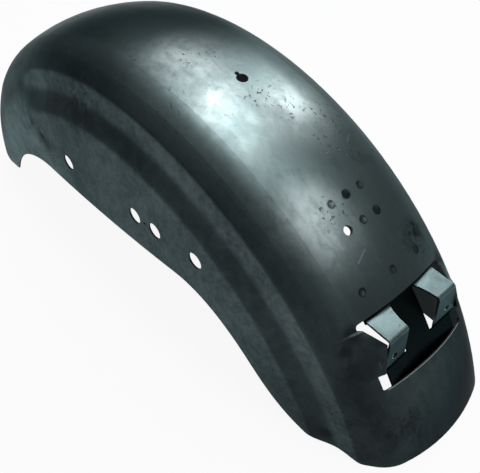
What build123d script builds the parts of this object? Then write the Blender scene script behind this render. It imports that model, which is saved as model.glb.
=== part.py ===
"""Bobbed motorcycle rear fender of bare pressed steel, standing on its two front corners and its tail edge.

X points forward, Y to the left and Z up. The origin is on the floor, below the middle of the fender.
Places below are measured from the wheel axle's line along X and from the floor along Z. Angles about the
axle run from straight ahead over the top to straight behind, and runs are lengths along the crown.
"""
import os
from math import acos, asin, atan2, ceil, cos, degrees, radians, sin, sqrt

from build123d import *

# Sheet and swept section, seen along the direction of travel
sheet = 1.6
crown_radius = 361.0
axle_below_floor = 132.5
half_width = 90.0
crown_section_radius = 180.0
shoulder_radius = 42.0
flank_angle = 53.0

# Outward step pressed between the flank and the flat skirt: drops below the crown, insets from the skirt
knee_drop = 29.0
knee_inset = 12.8
wall_drop = 35.0
wall_inset = 11.5
valley_drop = 48.5
valley_inset = 9.8
flare_drop = 55.0
flare_inset = 7.4
hem_drop = 64.5
hem_inset = 2.6
skirt_drop = 74.0
step_full_angle = 67.0
step_gone_angle = 56.0

# Side outline: raked front edge, hooked front corner, skirt edge and S-shaped run down to the tail
front_reach = 258.5
front_rake = 4.6
front_corner_radius = 10.0
hook_width = 28.9
hook_tip_radius = 4.0
hook_arc_radius = 112.0
hook_height = 60.8
skirt_sag_reach = 40.0
skirt_sag_height = 58.8
skirt_rear_reach = -88.0
skirt_rear_height = 66.0
run_down_reach = -176.0
run_down_height = 37.5
tail_foot_reach = -259.0

# Strut holes through both skirts, from front to rear, and the pilot hole between two of them
strut_hole_radius = 8.0
strut_holes = ((78.5, 94.7), (-34.5, 98.5), (-64.0, 100.2), (-119.5, 105.5))
pilot_hole_radius = 1.5

# Keyed seat hole on the crown's centre line
key_angle = 102.8
key_radius = 5.0
key_lobe_radius = 2.0
key_lobe_offset = 6.4

# Three holes in a triangle, and the backing plate spot-welded behind them
trio_front_angle = 122.45
trio_rear_run = 23.0
trio_half_spread = 16.5
trio_hole_radius = 4.0
backing_thickness = 2.0
backing_margin = 12.5
backing_corner_radius = 7.0

# Spot welds: shallow dents outside, and the gap between two welded sheets
weld_radius = 3.0
weld_depth = 0.3
weld_edge = 8.0
seat_gap = 0.2

# Lamp window across the crown, and the ears at its sides, sheared at both ends and drawn out to a peak
window_top_angle = 136.1
window_low_margin = 14.0
window_corner_radius = 3.0
ear_root_angle = 42.7
ear_start_run = 4.0
ear_apex_run = 20.8
ear_foot_run = 45.5
ear_shear_run = 1.5
ear_start_rise = 4.0
ear_rise = 15.3
ear_foot_rise = 6.6
ear_lean = 7.2
ear_lip_angle = 60.0
ear_station = 6.0

# Lamp bracket: weld flange, cut-out plate behind the window, and two arms standing out through it
bracket_sheet = 2.0
window_clearance = 5.3
flange_setback = 3.0
flange_length = 31.5
strip_half_width = 14.5
slot_setback = 4.0
plate_overlap = 23.0
arm_width = 21.0
arm_root_width = 27.0
arm_flare = 4.5
arm_notch_rise = 3.0
shelf_setback = 1.0
shelf_length = 25.6
shelf_fall = 4.5
drop_lean = 6.0
arm_bend_radius = 3.5
arm_hole_radius = 3.2
arm_hole_inset = 6.8
arm_hole_drop = 21.3

axle = Axis((0, 0, -axle_below_floor), (0, 1, 0))
section_plane = Plane((0, 0, -axle_below_floor), x_dir=(0, 1, 0), z_dir=(1, 0, 0))
side_plane = Plane((0, 0, 0), x_dir=(1, 0, 0), z_dir=(0, -1, 0))

# The shoulder's arc touches the crown's arc and a straight flank that runs to the knee
crown_centre = crown_radius - crown_section_radius
flank_distance = (half_width - knee_inset) * sin(radians(flank_angle)) + (
    crown_section_radius - knee_drop
) * cos(radians(flank_angle))
shoulder_reach = crown_section_radius - shoulder_radius
crown_edge_angle = flank_angle - degrees(acos((flank_distance - shoulder_radius) / shoulder_reach))
shoulder_centre = Vector(
    shoulder_reach * sin(radians(crown_edge_angle)),
    crown_centre + shoulder_reach * cos(radians(crown_edge_angle)),
)


def along(run):
    """Angle about the axle that a length along the crown spans."""
    return degrees(run / crown_radius)


def shoulder_point(angle, depth=0.0):
    """Point on the shoulder's arc at an angle from the vertical, or a depth under it."""
    radius = shoulder_radius - depth
    return shoulder_centre + Vector(sin(radians(angle)), cos(radians(angle))) * radius


def skin_radius(half, depth=0.0):
    """Distance from the axle to the crown or shoulder, or to a depth under it, off the centre plane."""
    if abs(half) <= shoulder_point(crown_edge_angle, depth).X:
        return crown_centre + sqrt((crown_section_radius - depth) ** 2 - half**2)
    return shoulder_centre.Y + sqrt((shoulder_radius - depth) ** 2 - (abs(half) - shoulder_centre.X) ** 2)


# Lengths that cut right through: across both sides, past the whole fender, and through two welded sheets
across = 3 * half_width
beyond = 2 * crown_radius
hole_reach = 4 * (sheet + seat_gap + backing_thickness)

seam_radius = crown_radius - skirt_drop
skirt_low_radius = axle_below_floor
trio_rear_angle = trio_front_angle + along(trio_rear_run)
window_half_width = shoulder_point(crown_edge_angle).X
ear_start_angle = window_top_angle + along(ear_start_run)
ear_foot_angle = window_top_angle + along(ear_foot_run)
bracket_half_width = window_half_width - window_clearance - arm_flare
plate_radius = skin_radius(bracket_half_width, sheet) - seat_gap
flange_rear_angle = window_top_angle - along(flange_setback)
flange_front_angle = flange_rear_angle - along(flange_length)
shelf_angle = window_top_angle + along(shelf_setback)

# Arm in side view: its root on the plate, its bend, and where its drop comes back to the plate
shelf_run = Vector(-cos(radians(shelf_fall)), -sin(radians(shelf_fall)))
drop_run = Vector(-sin(radians(drop_lean)), -cos(radians(drop_lean)))
arm_root = Vector(
    plate_radius * cos(radians(shelf_angle)),
    plate_radius * sin(radians(shelf_angle)) - axle_below_floor,
)
arm_bend = arm_root + shelf_run * shelf_length
bend_from_axle = arm_bend + Vector(0, axle_below_floor)
drop_along = -bend_from_axle.dot(drop_run)
drop_length = drop_along - sqrt(drop_along**2 - bend_from_axle.length**2 + plate_radius**2)
arm_end = arm_bend + drop_run * drop_length
arm_end_angle = degrees(atan2(arm_end.Y + axle_below_floor, arm_end.X))
window_low_angle = arm_end_angle + along(window_low_margin)
plate_rear_angle = window_low_angle + along(plate_overlap)


def turned(shape, angle):
    """Turn a shape drawn at the top of the wheel arc to an angle about the axle."""
    return shape.rotate(axle, 90.0 - angle)


def swept(face, front_angle, rear_angle):
    """Revolve a section about the axle between two angles."""
    return revolve(turned(face, rear_angle), axle, rear_angle - front_angle)


def band(half, low_radius, high_radius):
    """Rectangle in the section plane between two distances from the axle."""
    place = Pos(0, (low_radius + high_radius) / 2)
    return section_plane * place * Rectangle(2 * half, high_radius - low_radius)


def about_axle(radius):
    """Cylinder about the axle, reaching out past both skirts."""
    return Pos(0, 0, -axle_below_floor) * Rot(90, 0, 0) * Cylinder(radius, across)


def mirrored(shape):
    """The same shape on the other side of the centre plane."""
    return mirror(shape, about=Plane.XZ)


def skin_plane(angle, half):
    """Plane touching the crown's outer surface, with X forward and Z outward."""
    tilt = asin(half / crown_section_radius)
    turn = radians(angle)
    radius = skin_radius(half)
    origin = (radius * cos(turn), half, radius * sin(turn) - axle_below_floor)
    out = (cos(turn) * cos(tilt), sin(tilt), sin(turn) * cos(tilt))
    return Plane(origin, x_dir=(sin(turn), 0, -cos(turn)), z_dir=out)


def slope(angle):
    """Direction that leads outward and down at an angle below the horizontal."""
    return Vector(cos(radians(angle)), -sin(radians(angle)))


def inner_curve(outer):
    """The inner face of the sheet beside an outer curve that runs outward and down."""
    spans = 24
    points = []
    for i in range(spans + 1):
        heading = outer % (i / spans)
        points.append(outer @ (i / spans) + Vector(heading.Y, -heading.X) * sheet)
    return Spline(*points, tangents=(outer % 0, outer % 1))


def side_curve(step):
    """Outer curve from shoulder to skirt, from a fair sweep (step 0) to the full outward step (1)."""
    start = shoulder_point(flank_angle)
    end = Vector(half_width, seam_radius)
    ends = (slope(flank_angle), slope(90))
    fair = Spline(start, end, tangents=ends)
    pressed = (
        Vector(half_width - knee_inset, crown_radius - knee_drop),
        Vector(half_width - wall_inset, crown_radius - wall_drop),
        Vector(half_width - valley_inset, crown_radius - valley_drop),
        Vector(half_width - flare_inset, crown_radius - flare_drop),
        Vector(half_width - hem_inset, crown_radius - hem_drop),
    )
    middle = []
    for point in pressed:
        smooth = fair @ ((start.Y - point.Y) / (start.Y - end.Y))
        middle.append(smooth + (point - smooth) * step)
    return Spline(start, *middle, end, tangents=ends, tangent_scalars=(1, 1))


def shoulder_arc(depth, from_angle):
    """The shoulder's arc, or one under it, from an angle to the start of the flank."""
    return CenterArc(shoulder_centre, shoulder_radius - depth, 90 - from_angle, from_angle - flank_angle)


def upper_shoulder(share):
    """Outer curve over the upper shoulder, its inner end raised by a share of the ear's height."""
    start = shoulder_point(crown_edge_angle) + Vector(-ear_lean, ear_rise) * share
    start_angle = crown_edge_angle + (ear_lip_angle - crown_edge_angle) * share
    ends = (slope(start_angle), slope(ear_root_angle))
    return Spline(start, shoulder_point(ear_root_angle), tangents=ends)


def side_curves(step, share, low_radius):
    """Both faces of one side of the sheet, from the upper shoulder down to a radius."""
    upper = upper_shoulder(share)
    outer = side_curve(step)
    inner = inner_curve(outer)
    return [
        upper,
        shoulder_arc(0, ear_root_angle),
        outer,
        Line(outer @ 1, (half_width, low_radius)),
        Line((half_width, low_radius), (half_width - sheet, low_radius)),
        Line((half_width - sheet, low_radius), inner @ 1),
        inner,
        shoulder_arc(sheet, ear_root_angle),
        inner_curve(upper),
    ]


def section(step, low_radius):
    """Closed section of the sheet, over the crown from one skirt to the other."""
    left = side_curves(step, 0, low_radius)
    right = [mirror(curve, about=Plane.YZ) for curve in left]
    start = 90 - crown_edge_angle
    crown = [
        CenterArc((0, crown_centre), crown_section_radius, start, 2 * crown_edge_angle),
        CenterArc((0, crown_centre), crown_section_radius - sheet, start, 2 * crown_edge_angle),
    ]
    return section_plane * make_face([*left, *right, *crown])


def ear_section(share):
    """Closed section of the left side at the window, its edge raised by a share of the ear's height."""
    curves = side_curves(1, share, skirt_low_radius)
    return section_plane * make_face([*curves, Line(curves[0] @ 0, curves[-1] @ 0)])


def step_fade():
    """The stretch near the front where the outward step fades into a fair sweep."""
    spans = 6
    stages = []
    for i in range(spans + 1):
        share = i / spans
        step = share * share * (3 - 2 * share)
        angle = step_gone_angle + share * (step_full_angle - step_gone_angle)
        stages.append(turned(section(step, skirt_low_radius), angle))
    return loft(stages)


def left_ear():
    """The left side of the sheet along the window, its free edge straight from corner to corner."""
    corners = (
        (ear_start_run, 0),
        (ear_start_run + ear_shear_run, ear_start_rise),
        (ear_apex_run, ear_rise),
        (ear_foot_run - ear_shear_run, ear_foot_rise),
        (ear_foot_run, 0),
    )
    stages = [turned(ear_section(0), ear_start_angle)]
    for (run, rise), (next_run, next_rise) in zip(corners, corners[1:]):
        spans = ceil((next_run - run) / ear_station)
        for i in range(1, spans + 1):
            share = (rise + (next_rise - rise) * i / spans) / ear_rise
            angle = window_top_angle + along(run + (next_run - run) * i / spans)
            stages.append(turned(ear_section(share), angle))
    return loft(stages, ruled=True)


def window_cutter():
    """Cutter for the lamp window, its sides square to the sheet and its corners rounded."""
    low = shoulder_point(crown_edge_angle, 2 * sheet)
    high = shoulder_point(crown_edge_angle, -across)
    side = Polyline((0, low.Y), low, high, (0, high.Y))
    face = section_plane * make_face([side, mirror(side, about=Plane.YZ)])
    cutter = swept(face, window_top_angle, window_low_angle)
    ends = cutter.edges().filter_by(GeomType.LINE).filter_by(Axis.Y, reverse=True).group_by(Axis.X)
    return fillet([*ends[0], *ends[-1]], window_corner_radius)


def stretches():
    """The sheet over the wheel, from front to tail: fair, fading and stepped, then the ears and the window."""
    stepped = section(1, skirt_low_radius)
    window = window_cutter()
    front = swept(section(0, skirt_low_radius), 0, step_gone_angle)
    middle = swept(stepped, step_full_angle, ear_start_angle) - window
    tail = swept(stepped, ear_foot_angle, 180) - window
    ear = left_ear()
    return [front, step_fade(), middle, ear, mirrored(ear), tail]


def side_outline():
    """Everything that the trimmed sheet keeps, seen from the side."""
    toe = Vector(front_reach, 0)
    tip = Vector(front_reach - hook_width, 0)
    front_top = toe + Vector(-sin(radians(front_rake)), cos(radians(front_rake))) * beyond
    hook_centre = hook_height - hook_arc_radius
    hook_top = Vector(tip.X - sqrt(hook_arc_radius**2 - hook_centre**2), hook_height)
    hook_turn = degrees(asin(-hook_centre / hook_arc_radius)) - 90
    skirt_rear = (skirt_rear_reach, skirt_rear_height)
    skirt = ThreePointArc(skirt_rear, (skirt_sag_reach, skirt_sag_height), hook_top)
    run_down = Spline(
        (tail_foot_reach, 0),
        (run_down_reach, run_down_height),
        skirt_rear,
        tangents=((1, 0), skirt % 0),
    )
    outline = make_face([
        Line(tip, toe),
        Line(toe, front_top),
        Line(front_top, (-beyond, beyond)),
        Line((-beyond, beyond), (-beyond, 0)),
        Line((-beyond, 0), run_down @ 0),
        run_down,
        skirt,
        CenterArc((hook_top.X, hook_centre), hook_arc_radius, 90, hook_turn),
    ])
    outline = fillet(outline.vertices().sort_by_distance(toe)[0], front_corner_radius)
    return fillet(outline.vertices().sort_by_distance(tip)[0], hook_tip_radius)


def skirt_cutters():
    """Strut and pilot holes through both skirts."""
    holes = [(x, z, strut_hole_radius) for x, z in strut_holes]
    (x2, z2), (x3, z3) = strut_holes[1], strut_holes[2]
    holes.append(((x2 + x3) / 2, (z2 + z3) / 2, pilot_hole_radius))
    return [side_plane * Pos(x, z) * Cylinder(radius, across) for x, z, radius in holes]


def key_cutters():
    """The keyed seat hole: a round hole with a small lobe in front."""
    place = skin_plane(key_angle, 0)
    lobe = Pos(key_lobe_offset, 0) * Cylinder(key_lobe_radius, hole_reach)
    return [place * Cylinder(key_radius, hole_reach), place * lobe]


def trio_cutters():
    """The triangle of three holes, punched in one direction through sheet and backing plate."""
    place = skin_plane((trio_front_angle + trio_rear_angle) / 2, 0)
    ahead = trio_rear_run / 2
    holes = ((ahead, 0), (-ahead, trio_half_spread), (-ahead, -trio_half_spread))
    return [place * Pos(x, y) * Cylinder(trio_hole_radius, hole_reach) for x, y in holes]


def weld_dents():
    """Shallow round dents where the inner pieces are spot-welded to the sheet."""
    flange_angle = (flange_front_angle + flange_rear_angle) / 2
    flange_half = bracket_half_width - weld_edge
    places = (
        (trio_front_angle, trio_half_spread),
        (trio_front_angle, -trio_half_spread),
        (trio_rear_angle, 0),
        (flange_angle, flange_half),
        (flange_angle, -flange_half),
        (flange_angle, 0),
    )
    ball_radius = (weld_radius**2 + weld_depth**2) / (2 * weld_depth)
    ball = Pos(0, 0, ball_radius - weld_depth) * Sphere(ball_radius)
    return [skin_plane(angle, half) * ball for angle, half in places]


def fender_shell():
    """The pressed sheet: its stretches trimmed to the side outline, joined and pierced."""
    outline = extrude(side_plane * side_outline(), across, both=True)
    front, *others = [stretch & outline for stretch in stretches()]
    body = front + others
    return body - [*skirt_cutters(), *key_cutters(), *trio_cutters(), *weld_dents()]


def under_skin(depth):
    """Section of the space under crown and shoulders, from a depth below the outer surface."""
    left = shoulder_arc(depth, crown_edge_angle)
    right = mirror(left, about=Plane.YZ)
    start = 90 - crown_edge_angle
    crown = CenterArc((0, crown_centre), crown_section_radius - depth, start, 2 * crown_edge_angle)
    return section_plane * make_face([left, right, crown, Line(left @ 1, right @ 1)])


def crown_strip(thickness, half):
    """Section of a sheet that lies under the skin and follows it."""
    top = sheet + seat_gap
    strip = under_skin(top) - under_skin(top + thickness)
    return strip & band(half, seam_radius, crown_radius)


def backing_plate():
    """The reinforcing plate behind the three holes."""
    margin = along(backing_margin)
    face = crown_strip(backing_thickness, trio_half_spread + backing_margin)
    plate = swept(face, trio_front_angle - margin, trio_rear_angle + margin)
    plate = fillet(plate.edges().filter_by(GeomType.LINE), backing_corner_radius)
    return plate - trio_cutters()


def left_arm():
    """The left arm: shelf, bend and drop, with a curved inner edge, a flared outer edge and a bolt hole."""
    inward = Vector(-drop_run.Y, drop_run.X)
    below = Vector(-shelf_run.Y, shelf_run.X)
    tuck = 3 * bracket_sheet
    start = arm_root - shelf_run * tuck
    end = arm_end + drop_run * tuck
    inner_bend = arm_bend + (below + inward) * (bracket_sheet / (1 + below.dot(inward)))
    outline = make_face(
        Polyline(
            start,
            arm_bend,
            end,
            end + inward * bracket_sheet,
            inner_bend,
            start + below * bracket_sheet,
            close=True,
        )
    )
    outline = fillet(outline.vertices().sort_by_distance(arm_bend)[0], arm_bend_radius)
    outline = fillet(outline.vertices().sort_by_distance(inner_bend)[0], arm_bend_radius - bracket_sheet)
    arm = extrude(side_plane * outline, -(bracket_half_width + arm_flare))

    inner_half = bracket_half_width - arm_width
    root_half = bracket_half_width - arm_root_width
    ahead = start.X + bracket_sheet
    behind = end.X - bracket_sheet
    plan = make_face([
        TangentArc((arm_bend.X, inner_half), (arm_root.X, root_half), tangent=(1, 0)),
        Polyline((arm_root.X, root_half), (ahead, root_half), (ahead, -half_width)),
        Line((ahead, -half_width), (behind, -half_width)),
        Polyline((behind, -half_width), (behind, inner_half), (arm_bend.X, inner_half)),
    ])
    arm -= extrude(plan, beyond)

    outside = make_face(
        Polyline(
            (bracket_half_width, beyond),
            (bracket_half_width, arm_bend.Y),
            (bracket_half_width + arm_flare, arm_end.Y + arm_notch_rise),
            (bracket_half_width, arm_end.Y),
            (bracket_half_width, 0),
            (across, 0),
            (across, beyond),
            close=True,
        )
    )
    arm -= extrude(Plane.YZ * outside, beyond, both=True)

    hole = arm_bend + drop_run * arm_hole_drop
    hole_centre = (hole.X, bracket_half_width - arm_hole_inset, hole.Y)
    hole_plane = Plane(hole_centre, z_dir=(-inward.X, 0, -inward.Y))
    return arm - hole_plane * Cylinder(arm_hole_radius, 2 * tuck)


def tail_bracket():
    """One folded sheet: weld flange, web, cut-out plate and the two arms."""
    low_radius = plate_radius - bracket_sheet
    web_angle = flange_rear_angle - along(bracket_sheet)
    web = under_skin(sheet + seat_gap) & band(bracket_half_width, low_radius, crown_radius)
    body = swept(crown_strip(bracket_sheet, bracket_half_width), flange_front_angle, flange_rear_angle)
    body += swept(web, web_angle, flange_rear_angle)
    plate = swept(band(bracket_half_width, low_radius, plate_radius), web_angle, plate_rear_angle)
    slots = band(half_width, low_radius - sheet, crown_radius)
    slots -= band(strip_half_width, low_radius - sheet, crown_radius)
    plate -= swept(slots, shelf_angle + along(slot_setback), arm_end_angle)
    arm = left_arm() - about_axle(low_radius)
    return body + plate + arm + mirrored(arm)


def main():
    os.makedirs("parts", exist_ok=True)
    shell = fender_shell()
    place = Pos(-shell.bounding_box().center().X, 0, 0)
    nodes = {"fender_shell": shell, "tail_bracket": tail_bracket(), "backing_plate": backing_plate()}
    for name, solid in nodes.items():
        export_step(place * solid, f"parts/{name}.step")


main()
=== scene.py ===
"""Looks, light and camera for the bare steel motorcycle rear fender."""
import math

import bpy
from mathutils import Matrix, Vector

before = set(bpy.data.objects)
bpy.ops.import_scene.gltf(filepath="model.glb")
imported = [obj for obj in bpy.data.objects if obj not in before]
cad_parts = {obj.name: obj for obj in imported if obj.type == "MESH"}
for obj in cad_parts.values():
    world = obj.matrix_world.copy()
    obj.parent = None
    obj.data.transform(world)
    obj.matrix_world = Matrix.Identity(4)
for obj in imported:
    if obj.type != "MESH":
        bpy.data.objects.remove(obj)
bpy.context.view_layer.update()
scene = bpy.context.scene
scene.view_settings.view_transform = "Standard"

# The wheel axle's line, about which the fender is swept, and the crown's radii along and across the sweep
AXLE_X = 0.03907
AXLE_Z = -0.1325
AXLE = (AXLE_X, 0.0, AXLE_Z)
CROWN_RADIUS = 0.361
SECTION_RADIUS = 0.180

# Below this distance from the axle the welded pieces are behind the shell, and painted with shade
PLATE_RADIUS = 0.3555

# The lamp window's lower edge, in degrees over the wheel, and half its width up to the corner
WINDOW_LOW = 145.74
WINDOW_HALF = 0.045

# Distances off the centre plane between which the crown's gloss fades
SHOULDER_START = 0.040
SHOULDER_END = 0.062

WELD_RADIUS = 0.003
SCRATCH_WIDTH = 0.0009

# Bare oiled steel stays dark at glancing angles too
EDGE_TINT = (0.30, 0.36, 0.37, 1.0)

# Steel under a thick film of oil and under a thin one, overall and on the skirts; and lighter steel on the
# crown's upward faces, a painted highlight
OILED = ((0.020, 0.031, 0.033), (0.038, 0.055, 0.058))
RUBBED = ((0.036, 0.054, 0.057), (0.098, 0.128, 0.132))
CROWN_HIGHLIGHT_PAINT = ((0.134, 0.178, 0.182), (0.186, 0.246, 0.249))

# Steel of the welded pieces, painted darker on upright faces and lighter on level ones, as shade and light
BRACKET_SHADED_AND_LIT = ((0.105, 0.140, 0.144), (0.190, 0.262, 0.268))
PLATE_SHADED_AND_LIT = ((0.055, 0.074, 0.077), (0.16, 0.20, 0.205))

# Colours of the marks, painted shade and painted highlights among them
# Bright polished steel that also paints in the crown's highlight
POLISH_AND_HIGHLIGHT = (0.37, 0.43, 0.433)
SMEARED = (0.030, 0.043, 0.046)
# Dark smudges, and painted shade beside the ear
SMUDGE_AND_SHADE = (0.014, 0.020, 0.022)
SPECKLED = (0.010, 0.015, 0.017)
STAINED = (0.008, 0.012, 0.013)
# Painted shade on faces inside the shell and on the pieces behind it
INNER_SHADE_PAINT = (0.013, 0.018, 0.019)
# Painted shade at the ear roots
EAR_SHADE = (0.022, 0.031, 0.033)
# Painted highlight along the window's bare sheared edge
SHEARED_EDGE_HIGHLIGHT = (0.62, 0.68, 0.69)
SCRATCHED = (0.40, 0.46, 0.47)
HAIRLINE = (0.30, 0.36, 0.37)
WELD_DENT = (0.030, 0.042, 0.044)
WELD_RING = (0.012, 0.018, 0.020)
SHEET_FILM = (0.040, 0.056, 0.059)
SHEET_SPECK = (0.02, 0.028, 0.030)


def side_point(degrees, across, depth):
    """A point by its angle over the wheel, distance off the centre plane and depth below the crown's line."""
    turn = math.radians(degrees)
    radius = CROWN_RADIUS - depth
    return AXLE_X + radius * math.cos(turn), across, AXLE_Z + radius * math.sin(turn)


def crown_point(degrees, across):
    """A point on the crown's outer face."""
    return side_point(degrees, across, SECTION_RADIUS - math.sqrt(SECTION_RADIUS**2 - across**2))


# Spot welds: three round the holes in the crown, and a row above the window
WELDS = (
    crown_point(122.45, 0.0165),
    crown_point(122.45, -0.0165),
    crown_point(126.10, 0.0),
    crown_point(133.12, 0.0325),
    crown_point(133.12, -0.0325),
    crown_point(133.12, 0.0),
)

# Places that marks share
TAIL_SIDE = side_point(149.1, 0.078, 0.032)
TAIL_CORNER = side_point(152.0, 0.083, 0.0555)
TAIL_CROWN = crown_point(152.4, 0.043)
WINDOW_SHOULDER = crown_point(131.5, -0.038)
FRONT_SKIRT = side_point(62.2, 0.090, 0.099)
MIDDLE_STEP = side_point(82.1, 0.081, 0.052)

# Marks on the sheet, with painted shade and painted highlights among them, as places and reaches
CLUSTERS = (
    (crown_point(95.2, 0.018), 0.020),
    (crown_point(96.8, 0.002), 0.016),
    (crown_point(106.4, -0.001), 0.026),
    (crown_point(110.6, -0.018), 0.026),
    (crown_point(112.8, -0.0385), 0.024),
    (crown_point(116.0, -0.023), 0.028),
    (crown_point(123.1, 0.018), 0.024),
    (WINDOW_SHOULDER, 0.030),
    (FRONT_SKIRT, 0.050),
    (MIDDLE_STEP, 0.050),
    (TAIL_SIDE, 0.030),
    (TAIL_CROWN, 0.030),
)
SMUDGE_AND_SHADE_SPOTS = (
    (TAIL_CORNER, 0.011),
    (TAIL_SIDE, 0.016),
    (TAIL_CROWN, 0.018),
    (side_point(153.7, 0.073, 0.0235), 0.018),
    (WINDOW_SHOULDER, 0.020),
    (FRONT_SKIRT, 0.030),
    (side_point(59.0, 0.090, 0.0765), 0.020),
    (MIDDLE_STEP, 0.040),
    # Painted shade: a dark band in the hollow beside the ear's bulge
    (side_point(138.3, 0.0635, 0.0135), 0.012),
    (side_point(140.2, 0.066, 0.0155), 0.013),
    (side_point(142.2, 0.0665, 0.0165), 0.013),
)
STAINS = (
    (TAIL_CORNER, 0.0075),
    (side_point(152.2, 0.056, 0.0125), 0.0060),
    (side_point(61.5, 0.090, 0.095), 0.0060),
)
# Polished patches on the crown, placed where they also paint in a brighter highlight
POLISH_AND_HIGHLIGHT_PATCHES = (
    (crown_point(95.8, 0.015), 0.050),
    (crown_point(103.5, 0.030), 0.030),
    (crown_point(110.6, -0.015), 0.050),
    (crown_point(122.4, 0.0365), 0.040),
    (crown_point(125.3, 0.030), 0.040),
)
# Painted shade at the roots of the ears
EAR_STARTS = ((crown_point(136.8, 0.055), 0.012), (crown_point(136.8, -0.055), 0.012))
SCRATCHES = (
    (crown_point(116.4, -0.0425), crown_point(117.2, -0.034)),
    (crown_point(129.1, 0.0135), crown_point(130.0, 0.024)),
)

# Soft lights: azimuth and elevation in degrees, size, and radiance
LAMP_DISTANCE = 1.4
LAMP_AIM = Vector((0.0, 0.0, 0.15))
SOFTBOXES = {
    "top": (-60, 82, 0.60, 6.3),
    "upper_right": (-60, 63, 0.50, 4.2),
    "right_side": (-75, 42, 0.50, 5.2),
    "rear": (-158, 54, 0.70, 1.8),
    "front_right": (-22, 52, 0.60, 1.6),
}
ROOM_COLOUR = (0.150, 0.162, 0.166, 1.0)

# Floor: just below the object, and the share of white that camera, glossy and transmitted rays see
FLOOR_SIZE = 12.0
FLOOR_DROP = 0.0004
FLOOR_COLOUR = (0.86, 0.86, 0.86, 1.0)
FLOOR_WHITE = 0.92

# Camera at the photograph's viewing angle
CAMERA_PLACE = (-0.3490, 0.2911, 0.4667)
CAMERA_RIGHT = Vector((-0.6713, -0.7411, -0.0130))
CAMERA_AHEAD = Vector((0.5011, -0.4408, -0.7447))
CAMERA_LENS = 44.67
CAMERA_SENSOR = 36.0
CAMERA_SHIFT_X = 0.0275
CAMERA_SHIFT_Y = 0.0702
CAMERA_CLIP = 0.01


class Look:
    """A small builder for one node material."""

    # Sockets of the Mix node that carry colours
    MIX_LOW = 6
    MIX_HIGH = 7
    MIX_RESULT = 2

    def __init__(self, name):
        self.material = bpy.data.materials.new(name)
        self.material.use_nodes = True
        self.tree = self.material.node_tree
        self.shader = self.tree.nodes["Principled BSDF"]

    def add(self, kind, **settings):
        node = self.tree.nodes.new(kind)
        for key, value in settings.items():
            setattr(node, key, value)
        return node

    def feed(self, socket, value):
        """Links a socket to another one, or sets it to a constant."""
        if isinstance(value, bpy.types.NodeSocket):
            self.tree.links.new(value, socket)
        else:
            socket.default_value = value

    def shade(self, name, value):
        """Feeds one of the shader's own sockets."""
        self.feed(self.shader.inputs[name], value)

    def number(self, operation, a, b=0.0, clamp=False):
        node = self.add("ShaderNodeMath", operation=operation, use_clamp=clamp)
        self.feed(node.inputs[0], a)
        self.feed(node.inputs[1], b)
        return node.outputs[0]

    def times(self, a, b):
        return self.number("MULTIPLY", a, b)

    def most(self, a, b):
        return self.number("MAXIMUM", a, b)

    def mean(self, a, share, b):
        """The mean of two values, where a has this share."""
        return self.number("ADD", self.times(a, share), self.times(b, 1.0 - share))

    def ramp(self, value, low, high, to_low=0.0, to_high=1.0):
        """A smooth step from to_low to to_high while the value goes from low to high."""
        node = self.add("ShaderNodeMapRange", interpolation_type="SMOOTHSTEP")
        for socket, number in zip(node.inputs, (value, low, high, to_low, to_high)):
            self.feed(socket, number)
        return node.outputs[0]

    def vector(self, operation, a, b=(0.0, 0.0, 0.0)):
        """A vector, or the number that a product, length or distance gives."""
        node = self.add("ShaderNodeVectorMath", operation=operation)
        self.feed(node.inputs[0], a)
        self.feed(node.inputs[1], b)
        gives_number = operation in ("DOT_PRODUCT", "LENGTH", "DISTANCE")
        return node.outputs["Value" if gives_number else "Vector"]

    def scale(self, vector, factor):
        node = self.add("ShaderNodeVectorMath", operation="SCALE")
        self.feed(node.inputs[0], vector)
        self.feed(node.inputs["Scale"], factor)
        return node.outputs["Vector"]

    def split(self, vector):
        """A vector's X, Y and Z."""
        node = self.add("ShaderNodeSeparateXYZ")
        self.feed(node.inputs[0], vector)
        return node.outputs

    def noise(self, vector, scale, detail=4.0, roughness=0.55, distortion=0.0):
        node = self.add("ShaderNodeTexNoise")
        self.feed(node.inputs["Vector"], vector)
        self.feed(node.inputs["Scale"], scale)
        self.feed(node.inputs["Detail"], detail)
        self.feed(node.inputs["Roughness"], roughness)
        self.feed(node.inputs["Distortion"], distortion)
        return node.outputs["Fac"]

    def blend(self, share, low, high):
        """Colour low where the share is 0, colour high where it is 1."""
        node = self.add("ShaderNodeMix", data_type="RGBA")
        self.feed(node.inputs["Factor"], share)
        for socket, colour in ((self.MIX_LOW, low), (self.MIX_HIGH, high)):
            made = isinstance(colour, bpy.types.NodeSocket)
            self.feed(node.inputs[socket], colour if made else (*colour, 1.0))
        return node.outputs[self.MIX_RESULT]

    def bump(self, height, distance, strength, under=None):
        """Relief of a height, over the relief under it."""
        node = self.add("ShaderNodeBump")
        self.feed(node.inputs["Strength"], strength)
        self.feed(node.inputs["Distance"], distance)
        self.feed(node.inputs["Height"], height)
        if under is not None:
            self.feed(node.inputs["Normal"], under)
        return node.outputs["Normal"]


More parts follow.
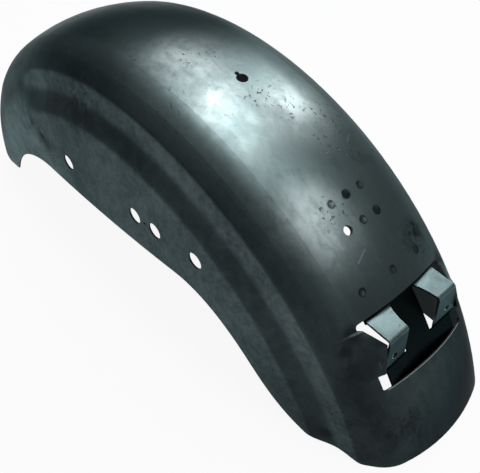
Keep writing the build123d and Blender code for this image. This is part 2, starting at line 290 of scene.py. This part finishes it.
class Steel(Look):
    """A steel's look, laid up colour over colour, with the places and directions that the colours follow."""

    def __init__(self, name):
        super().__init__(name)
        self.shade("Metallic", 1.0)
        self.shade("Specular Tint", EDGE_TINT)
        self.colour = None
        self.place = self.add("ShaderNodeTexCoord").outputs["Object"]
        self.normal = self.add("ShaderNodeNewGeometry").outputs["Normal"]
        self.from_axle = self.vector("SUBTRACT", self.place, AXLE)
        x, self.across, z = self.split(self.from_axle)
        self.angle = self.number("ARCTAN2", z, x)
        self.radius = self.number("SQRT", self.number("ADD", self.times(x, x), self.times(z, z)))
        self.half = self.number("ABSOLUTE", self.across)

    def lay(self, colour, share):
        """Lays a colour over the ones below it."""
        self.colour = self.blend(share, self.colour, colour)

    def unrolled(self, along=1.0, across=1.0):
        """Place unrolled over the wheel: length along the crown, width, and distance from the axle."""
        join = self.add("ShaderNodeCombineXYZ")
        self.feed(join.inputs[0], self.times(self.angle, along * CROWN_RADIUS))
        self.feed(join.inputs[1], self.times(self.across, across))
        self.feed(join.inputs[2], self.radius)
        return join.outputs[0]

    def over_wheel(self, low, high, to_low, to_high):
        """A smooth step between two angles over the wheel, in degrees."""
        return self.ramp(self.angle, math.radians(low), math.radians(high), to_low, to_high)

    def inside(self):
        """1 on the faces that look in at the wheel, 0 on the outer faces."""
        lean = self.vector("DOT_PRODUCT", self.from_axle, self.normal)
        return self.ramp(lean, -0.03, 0.0, 1.0, 0.0)

    def facing(self, axis, low, high):
        """1 on faces that look along an axis, either way, falling to 0 on faces turned away from it."""
        return self.ramp(self.number("ABSOLUTE", self.split(self.normal)[axis]), low, high)

    def near(self, spots, soft):
        """1 close to any of the spots, falling to 0 at each one's reach over its soft share."""
        total = 0.0
        for point, reach in spots:
            away = self.vector("DISTANCE", self.place, point)
            total = self.most(self.ramp(away, reach * (1 - soft), reach, 1.0, 0.0), total)
        return total

    def line(self, start, end, width):
        """1 on a straight mark between two points, falling to 0 at its width."""
        run = Vector(end) - Vector(start)
        offset = self.vector("SUBTRACT", self.place, start)
        share = self.vector("DOT_PRODUCT", offset, run / run.length_squared)
        share = self.number("MULTIPLY", share, 1.0, clamp=True)
        side = self.vector("SUBTRACT", offset, self.scale(run, share))
        return self.ramp(self.vector("LENGTH", side), 0.3 * width, width, 1.0, 0.0)


def lay_film(look):
    """Blotchy oil, rubbed on the skirts; a painted highlight of lighter steel on the crown's upward faces,
    and polished patches that also paint that highlight brighter. Gives 0 where it is thick, 1 where thin.
    """
    film = look.noise(look.place, scale=13.0, detail=7.0, roughness=0.62, distortion=0.5)
    mottle = look.noise(look.unrolled(across=1.6), scale=60.0, detail=6.0, roughness=0.66, distortion=0.6)
    tone = look.ramp(look.mean(film, 0.62, mottle), 0.36, 0.64)
    look.colour = look.blend(tone, *OILED)

    scuff = look.noise(look.unrolled(across=1.2), scale=150.0, detail=6.0, roughness=0.7, distortion=0.8)
    scuff = look.mean(tone, 0.6, look.ramp(scuff, 0.38, 0.62))
    look.lay(look.blend(scuff, *RUBBED), look.facing("Y", 0.93, 0.995))

    # Painted highlight: lighter steel where the crown faces up, less of it towards the front
    crown = look.times(look.facing("Z", 0.40, 0.88), look.over_wheel(86, 101, 0.32, 1.0))
    look.lay(look.blend(tone, *CROWN_HIGHLIGHT_PAINT), crown)
    # Polished patches, which also paint the crown's highlight brighter
    look.lay(POLISH_AND_HIGHLIGHT, look.times(look.near(POLISH_AND_HIGHLIGHT_PATCHES, 0.9), look.ramp(tone, 0.0, 0.8, 0.25, 0.8)))
    return tone


def lay_dirt(look):
    """Smears, smudges, painted shade in the hollow beside an ear, and specks. Gives 1 on the specks."""
    smear = look.noise(look.unrolled(across=1.4), scale=21.0, detail=7.0, roughness=0.68, distortion=0.4)
    look.lay(SMEARED, look.times(look.ramp(smear, 0.56, 0.74), 0.45))

    # Dark smudges, and painted shade beside the ear
    smudge_and_shade = look.noise(look.place, scale=70.0, detail=5.0, roughness=0.65, distortion=0.8)
    smudge_and_shade = look.times(look.near(SMUDGE_AND_SHADE_SPOTS, 0.9), look.ramp(smudge_and_shade, 0.40, 0.60))
    look.lay(SMUDGE_AND_SHADE, look.times(smudge_and_shade, 0.75))

    strays = look.times(look.ramp(look.noise(look.place, scale=16.0, detail=3.0), 0.52, 0.66), 0.45)
    specks = look.noise(look.place, scale=300.0, detail=3.0, roughness=0.6, distortion=0.4)
    specks = look.times(look.ramp(specks, 0.595, 0.645), look.most(look.near(CLUSTERS, 0.8), strays))
    look.lay(SPECKLED, look.times(specks, 0.85))
    return specks


def lay_ends(look):
    """A lighter front corner and a darker tail, painted shade at the ear roots and a painted highlight on the
    window's bare sheared edge.
    """
    ends = look.times(look.over_wheel(54, 74, 2.0, 1.0), look.over_wheel(133, 147, 1.0, 0.62))
    look.colour = look.scale(look.colour, ends)
    # Painted shade at the ear roots
    look.lay(EAR_SHADE, look.times(look.near(EAR_STARTS, 0.8), 0.8))

    # Painted highlight along the window's lower sheared edge
    off_edge = look.number("ABSOLUTE", look.number("SUBTRACT", look.angle, math.radians(WINDOW_LOW)))
    between = look.ramp(look.half, WINDOW_HALF, WINDOW_HALF + 0.003, 1.0, 0.0)
    look.lay(SHEARED_EDGE_HIGHLIGHT, look.times(look.ramp(off_edge, 0.0008, 0.0016, 0.8, 0.0), between))


def lay_marks(look):
    """Stains and scratches on the outer faces, and painted shade on the inner ones."""
    look.lay(STAINED, look.times(look.near(STAINS, 0.6), 0.8))
    for start, end in SCRATCHES:
        look.lay(SCRATCHED, look.times(look.line(start, end, SCRATCH_WIDTH), 0.5))
    # Painted shade on the faces that look in at the wheel
    look.lay(INNER_SHADE_PAINT, look.inside())


def lay_welds(look):
    """Spot welds, each a dark dent with a broken ring at its rim."""
    broken = look.ramp(look.noise(look.place, scale=150.0, detail=2.0), 0.40, 0.58, 0.35, 0.90)
    for weld in WELDS:
        away = look.number("SUBTRACT", look.vector("DISTANCE", look.place, weld), WELD_RADIUS)
        look.lay(WELD_DENT, look.ramp(away, -0.0004, 0.0004, 0.6, 0.0))
        ring = look.times(look.ramp(away, -0.0008, 0.0), look.ramp(away, 0.0002, 0.0010, 1.0, 0.0))
        look.lay(WELD_RING, look.times(ring, broken))


def lay_hairlines(look):
    """Sparse fine scratches along the sweep."""
    hair = look.noise(look.unrolled(along=5.0, across=60.0), scale=14.0, detail=2.0, roughness=0.5)
    sparse = look.ramp(look.noise(look.place, scale=11.0, detail=2.0), 0.55, 0.64)
    look.lay(HAIRLINE, look.times(look.times(look.ramp(hair, 0.745, 0.770), sparse), 0.4))


def give_relief(look, specks):
    """A faintly wavy and grainy face, pitted at the specks."""
    wave = look.bump(look.noise(look.place, scale=14.0, detail=2.0, roughness=0.5), 0.0010, 0.4)
    grain = look.noise(look.place, scale=650.0, detail=3.0, roughness=0.6)
    grain = look.bump(grain, 0.00004, 0.5, under=wave)
    look.shade("Normal", look.bump(look.number("SUBTRACT", 1.0, specks), 0.00012, 0.6, under=grain))


def shell_look():
    """Dark oiled sheet, painted lighter on the crown's upward faces as a highlight, and duller towards its
    shoulders.
    """
    look = Steel("pressed_steel")
    look.shade("Coat Weight", 0.12)
    look.shade("Coat Roughness", 0.30)
    tone = lay_film(look)
    specks = lay_dirt(look)
    lay_ends(look)
    lay_marks(look)
    lay_welds(look)
    lay_hairlines(look)
    look.shade("Base Color", look.colour)
    dull = look.times(look.ramp(look.half, SHOULDER_START, SHOULDER_END), 0.17)
    look.shade("Roughness", look.number("ADD", look.ramp(tone, 0.0, 1.0, 0.38, 0.32), dull))
    give_relief(look, specks)
    return look.material


def sheet_look(name, colours, roughness):
    """Plainer satin sheet steel for the welded pieces, painted lighter on level faces and darker on upright
    ones as light and shade, and painted with shade inside the shell.
    """
    look = Steel(name)
    # Painted light and shade: level faces lighter, upright faces darker
    look.colour = look.blend(look.facing("Z", 0.35, 0.80), *colours)
    film = look.noise(look.place, scale=45.0, detail=5.0, roughness=0.6, distortion=0.5)
    look.lay(SHEET_FILM, look.ramp(film, 0.42, 0.70, 0.0, 0.45))
    # Painted shade where the pieces lie behind the shell
    look.lay(INNER_SHADE_PAINT, look.ramp(look.radius, PLATE_RADIUS, PLATE_RADIUS + 0.002, 1.0, 0.0))
    specks = look.noise(look.place, scale=420.0, detail=3.0, roughness=0.6)
    look.lay(SHEET_SPECK, look.times(look.ramp(specks, 0.66, 0.72), 0.7))
    look.shade("Base Color", look.colour)
    look.shade("Roughness", look.ramp(film, 0.3, 0.7, roughness - 0.04, roughness + 0.06))
    grain = look.noise(look.place, scale=260.0, detail=4.0, roughness=0.6)
    look.shade("Normal", look.bump(grain, 0.00006, 0.5))
    return look.material


def wear(node, material):
    """Gives a CAD node its material."""
    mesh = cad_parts[node].data
    mesh.materials.clear()
    mesh.materials.append(material)


def floor_look():
    """Pale paint, nearly white for camera, glossy and transmitted rays, that keeps the object's shadow."""
    look = Look("floor_paint")
    look.shade("Base Color", FLOOR_COLOUR)
    look.shade("Roughness", 0.9)
    look.shade("Specular IOR Level", 0.0)
    ray = look.add("ShaderNodeLightPath").outputs
    seen = look.most(ray["Is Camera Ray"], ray["Is Glossy Ray"])
    seen = look.most(seen, ray["Is Transmission Ray"])
    mix = look.add("ShaderNodeMixShader")
    look.feed(mix.inputs[0], look.times(seen, FLOOR_WHITE))
    look.feed(mix.inputs[1], look.shader.outputs[0])
    look.feed(mix.inputs[2], look.add("ShaderNodeEmission").outputs[0])
    look.feed(look.tree.nodes["Material Output"].inputs[0], mix.outputs[0])
    return look.material


def light_room():
    """A dim even room round the object."""
    scene.world = bpy.data.worlds.new("room")
    scene.world.use_nodes = True
    background = scene.world.node_tree.nodes["Background"]
    background.inputs["Color"].default_value = ROOM_COLOUR
    background.inputs["Strength"].default_value = 1.0


def softbox(name, azimuth, elevation, size, radiance):
    """A square soft light that faces the fender's middle."""
    turn = math.radians(azimuth)
    rise = math.radians(elevation)
    toward = Vector((math.cos(rise) * math.cos(turn), math.cos(rise) * math.sin(turn), math.sin(rise)))
    data = bpy.data.lights.new(name, "AREA")
    data.shape = "SQUARE"
    data.size = size
    data.energy = math.pi * size**2 * radiance
    lamp = bpy.data.objects.new(name, data)
    scene.collection.objects.link(lamp)
    lamp.location = LAMP_AIM + toward * LAMP_DISTANCE
    lamp.rotation_euler = toward.to_track_quat("Z", "X").to_euler()


def place_camera():
    data = bpy.data.cameras.new("camera")
    data.sensor_width = CAMERA_SENSOR
    data.lens = CAMERA_LENS
    data.shift_x = CAMERA_SHIFT_X
    data.shift_y = CAMERA_SHIFT_Y
    data.clip_start = CAMERA_CLIP
    ahead = CAMERA_AHEAD.normalized()
    up = CAMERA_RIGHT.cross(ahead).normalized()
    turn = Matrix((ahead.cross(up), up, -ahead)).transposed()
    camera = bpy.data.objects.new("camera", data)
    scene.collection.objects.link(camera)
    camera.matrix_world = Matrix.Translation(CAMERA_PLACE) @ turn.to_4x4()
    scene.camera = camera


wear("fender_shell", shell_look())
wear("tail_bracket", sheet_look("bracket_steel", BRACKET_SHADED_AND_LIT, 0.36))
wear("backing_plate", sheet_look("plate_steel", PLATE_SHADED_AND_LIT, 0.42))

bpy.ops.mesh.primitive_plane_add(size=FLOOR_SIZE, location=(0, 0, -FLOOR_DROP))
floor = bpy.context.object
floor.name = "floor"
floor.data.materials.append(floor_look())

light_room()
for lamp_name, settings in SOFTBOXES.items():
    softbox(lamp_name, *settings)
place_camera()
